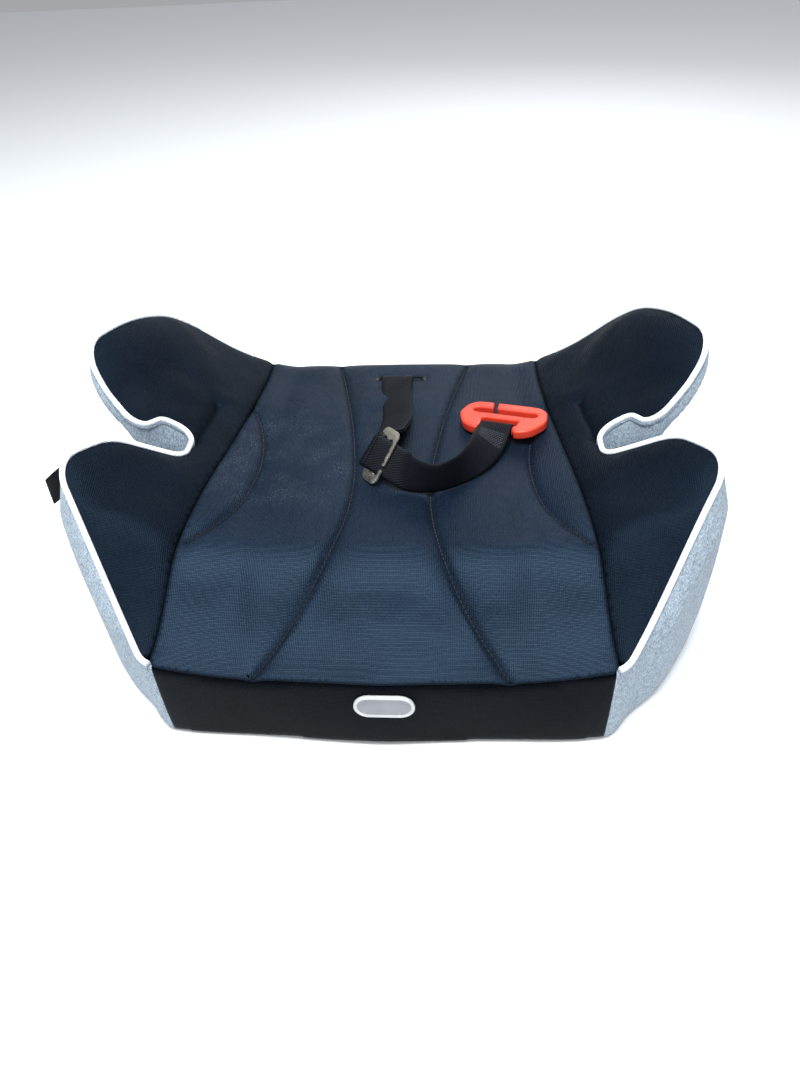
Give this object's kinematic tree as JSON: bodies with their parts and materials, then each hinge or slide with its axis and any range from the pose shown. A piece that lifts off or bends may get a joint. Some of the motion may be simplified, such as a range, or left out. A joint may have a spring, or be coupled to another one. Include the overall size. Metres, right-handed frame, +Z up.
{
  "type": "booster seat",
  "caption": "Backless child booster seat: padded fabric cover over a plastic hull, belt horns at both sides and a belt guide strap with a clip.",
  "frame": {"origin": "on the floor, on the flat underside of the hull, in the seat's plane of symmetry", "axes": "+Z up, +Y towards the back edge of the seat, +X to the right in a front view"},
  "size_m": [0.4279, 0.3267, 0.1735],
  "materials": {
    "hull_plastic": "blow-moulded HDPE, fine grain",
    "hook_plastic": "moulded, satin",
    "anchor_steel": "zinc-plated bar",
    "foam": "open-cell foam",
    "cover_black": "fine knitted polyester over wadding, blue-black",
    "band_grey": "heather-grey woven polyester",
    "piping_white": "pale blue-white piping cord",
    "elastic_black": "elastic hem tape",
    "badge_grey": "soft moulded badge with a raised rim",
    "label_black": "woven tape",
    "binding_black": "buttonhole stitching",
    "webbing_black": "twill polyester webbing",
    "slider_metal": "pale nickel plate",
    "clip_red": "injection-moulded, semi-gloss"
  },
  "bodies": {
    "seat": {"hull": "hull_plastic", "hem_hooks": "hook_plastic", "strap_anchor_bar": "anchor_steel", "seat_foam": "foam", "side_foam_right": "foam", "side_foam_left": "foam", "cover_seat_panel": "cover_black", "cover_side_panel_right": "cover_black", "cover_side_panel_left": "cover_black", "cover_front_panel": "cover_black", "cover_rear_panel": "cover_black", "side_band_right": "band_grey", "side_band_left": "band_grey", "piping_right": "piping_white", "piping_left": "piping_white", "hem_elastic": "elastic_black", "badge": "badge_grey", "side_label": "label_black", "slot_binding": "binding_black", "strap_root": "webbing_black"},
    "strap": {"strap_loop": "webbing_black", "strap_tail": "webbing_black"},
    "slider": {"strap_slider": "slider_metal"},
    "clip": {"belt_clip": "clip_red"}
  },
  "joints": [
    {"name": "strap_lift", "type": "hinge", "parent": "seat", "child": "strap", "pos_m": [-0.0035, 0.12, 0.09434], "axis": [-1, 0, 0], "range_deg": [0, 110]},
    {"name": "slider_adjust", "type": "slide", "parent": "strap", "child": "slider", "axis": [0.8282, -0.5197, -0.2095], "range_m": [0, 0.004]},
    {"name": "clip_pivot", "type": "hinge", "parent": "strap", "child": "clip", "pos_m": [0.07438, 0.02888, 0.1021], "axis": [0.9257, -0.3679, 0.088], "range_deg": [0, 100]}
  ]
}
